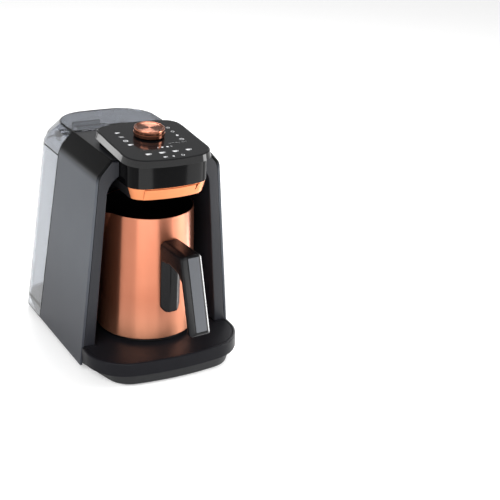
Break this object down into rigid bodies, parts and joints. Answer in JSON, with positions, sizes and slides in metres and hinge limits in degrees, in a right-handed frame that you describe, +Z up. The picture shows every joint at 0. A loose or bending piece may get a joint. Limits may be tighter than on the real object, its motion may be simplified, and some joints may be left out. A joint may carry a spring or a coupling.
{
  "type": "electric turkish coffee maker",
  "caption": "Countertop Turkish coffee maker: tapered body with an arch over a hot plate, tilted control head with a knob, lift-off water tank with a hinged lid, and a handled pot.",
  "frame": {"origin": "centre of the overall box on the surface that the machine stands on, between the rubber feet", "axes": "+Z up, -Y to the front where the pot's handle points, +X to the right of someone who faces the machine"},
  "size_m": [0.154, 0.2407, 0.2216],
  "materials": {
    "panel_grey": "satin dark grey paint",
    "frame_black": "fine matt, charcoal",
    "bay_black": "matt black",
    "base_black": "matt black",
    "tray_black": "smooth black",
    "deck_grey": "smooth dark grey",
    "rubber_black": "matt",
    "steel": "plain",
    "head_black": "smooth black",
    "panel_glass": "dark printed glass",
    "circuit_green": "solder mask",
    "copper_trim": "copper-coloured, satin",
    "copper_pot": "copper-coloured, satin outside",
    "hot_plate": "dark coated",
    "element_steel": "sheathed tube",
    "hose_clear": "silicone",
    "inner_white": "plain",
    "handle_black": "fine matt",
    "insert_grey": "satin grey",
    "tank_smoke": "smoky clear plastic",
    "lid_smoke": "smoky clear plastic"
  },
  "bodies": {
    "machine": {"side_panel_left": "panel_grey", "side_panel_right": "panel_grey", "front_frame": "frame_black", "rear_wall": "bay_black", "top_deck": "deck_grey", "base_plinth": "base_black", "cord_gland": "rubber_black", "rubber_foot_front_left": "rubber_black", "rubber_foot_front_right": "rubber_black", "rubber_foot_rear_left": "rubber_black", "rubber_foot_rear_right": "rubber_black", "base_screws": "steel", "tray_body": "tray_black", "tray_plate": "tray_black", "tank_seat": "base_black", "head_housing": "head_black", "head_bezel": "head_black", "control_glass": "panel_glass", "control_board": "circuit_green", "board_screws": "steel", "copper_skirt": "copper_trim", "skirt_front_plate": "copper_trim", "underside_plate": "bay_black", "water_spout": "inner_white", "foam_sensor": "head_black", "encoder_body": "steel", "heater_plate": "hot_plate", "heating_element": "element_steel", "heater_bracket": "steel", "thermal_cutout": "inner_white", "water_pump": "inner_white", "inlet_tube": "hose_clear", "pressure_tube": "hose_clear", "power_board": "circuit_green"},
    "knob_press": {"encoder_plunger": "inner_white"},
    "knob": {"knob_cap": "copper_trim", "knob_ring": "copper_trim", "knob_hub": "head_black", "encoder_shaft": "steel"},
    "tank": {"water_tank": "tank_smoke", "lid_hinge_pins": "steel", "valve_body": "inner_white", "valve_spring": "steel", "valve_seal": "rubber_black", "tank_filter": "inner_white"},
    "valve": {"valve_plunger": "inner_white"},
    "lid": {"tank_lid": "lid_smoke", "lid_tab": "head_black"},
    "pot": {"pot_body": "copper_pot", "pot_base_disc": "hot_plate", "pot_handle": "handle_black", "handle_insert": "insert_grey", "handle_bracket": "steel", "handle_screw": "steel"}
  },
  "joints": [
    {"name": "knob_press", "type": "slide", "parent": "machine", "child": "knob_press", "axis": [0, 0.0758, -0.9971], "range_m": [0, 0.0008], "stiffness_N_per_m": 800},
    {"name": "knob_turn", "type": "hinge", "parent": "knob_press", "child": "knob", "pos_m": [0, -0.0207, 0.2118], "axis": [0, -0.0758, 0.9971], "continuous": true},
    {"name": "tank_lift", "type": "slide", "parent": "machine", "child": "tank", "axis": [0, 0, 1], "range_m": [0, 0.2]},
    {"name": "tank_valve", "type": "slide", "parent": "tank", "child": "valve", "axis": [0, 0, 1], "range_m": [-0.003, 0], "deforming": ["valve_spring"]},
    {"name": "lid_hinge", "type": "hinge", "parent": "tank", "child": "lid", "pos_m": [0, 0.1125, 0.179], "axis": [-1, 0, 0], "range_deg": [0, 90]},
    {"name": "pot_slide", "type": "slide", "parent": "machine", "child": "pot", "axis": [0, -1, 0], "range_m": [0, 0.2]}
  ],
  "couplings": [
    {"joint": "tank_valve", "follows": "tank_lift", "ratio": -0.015}
  ]
}
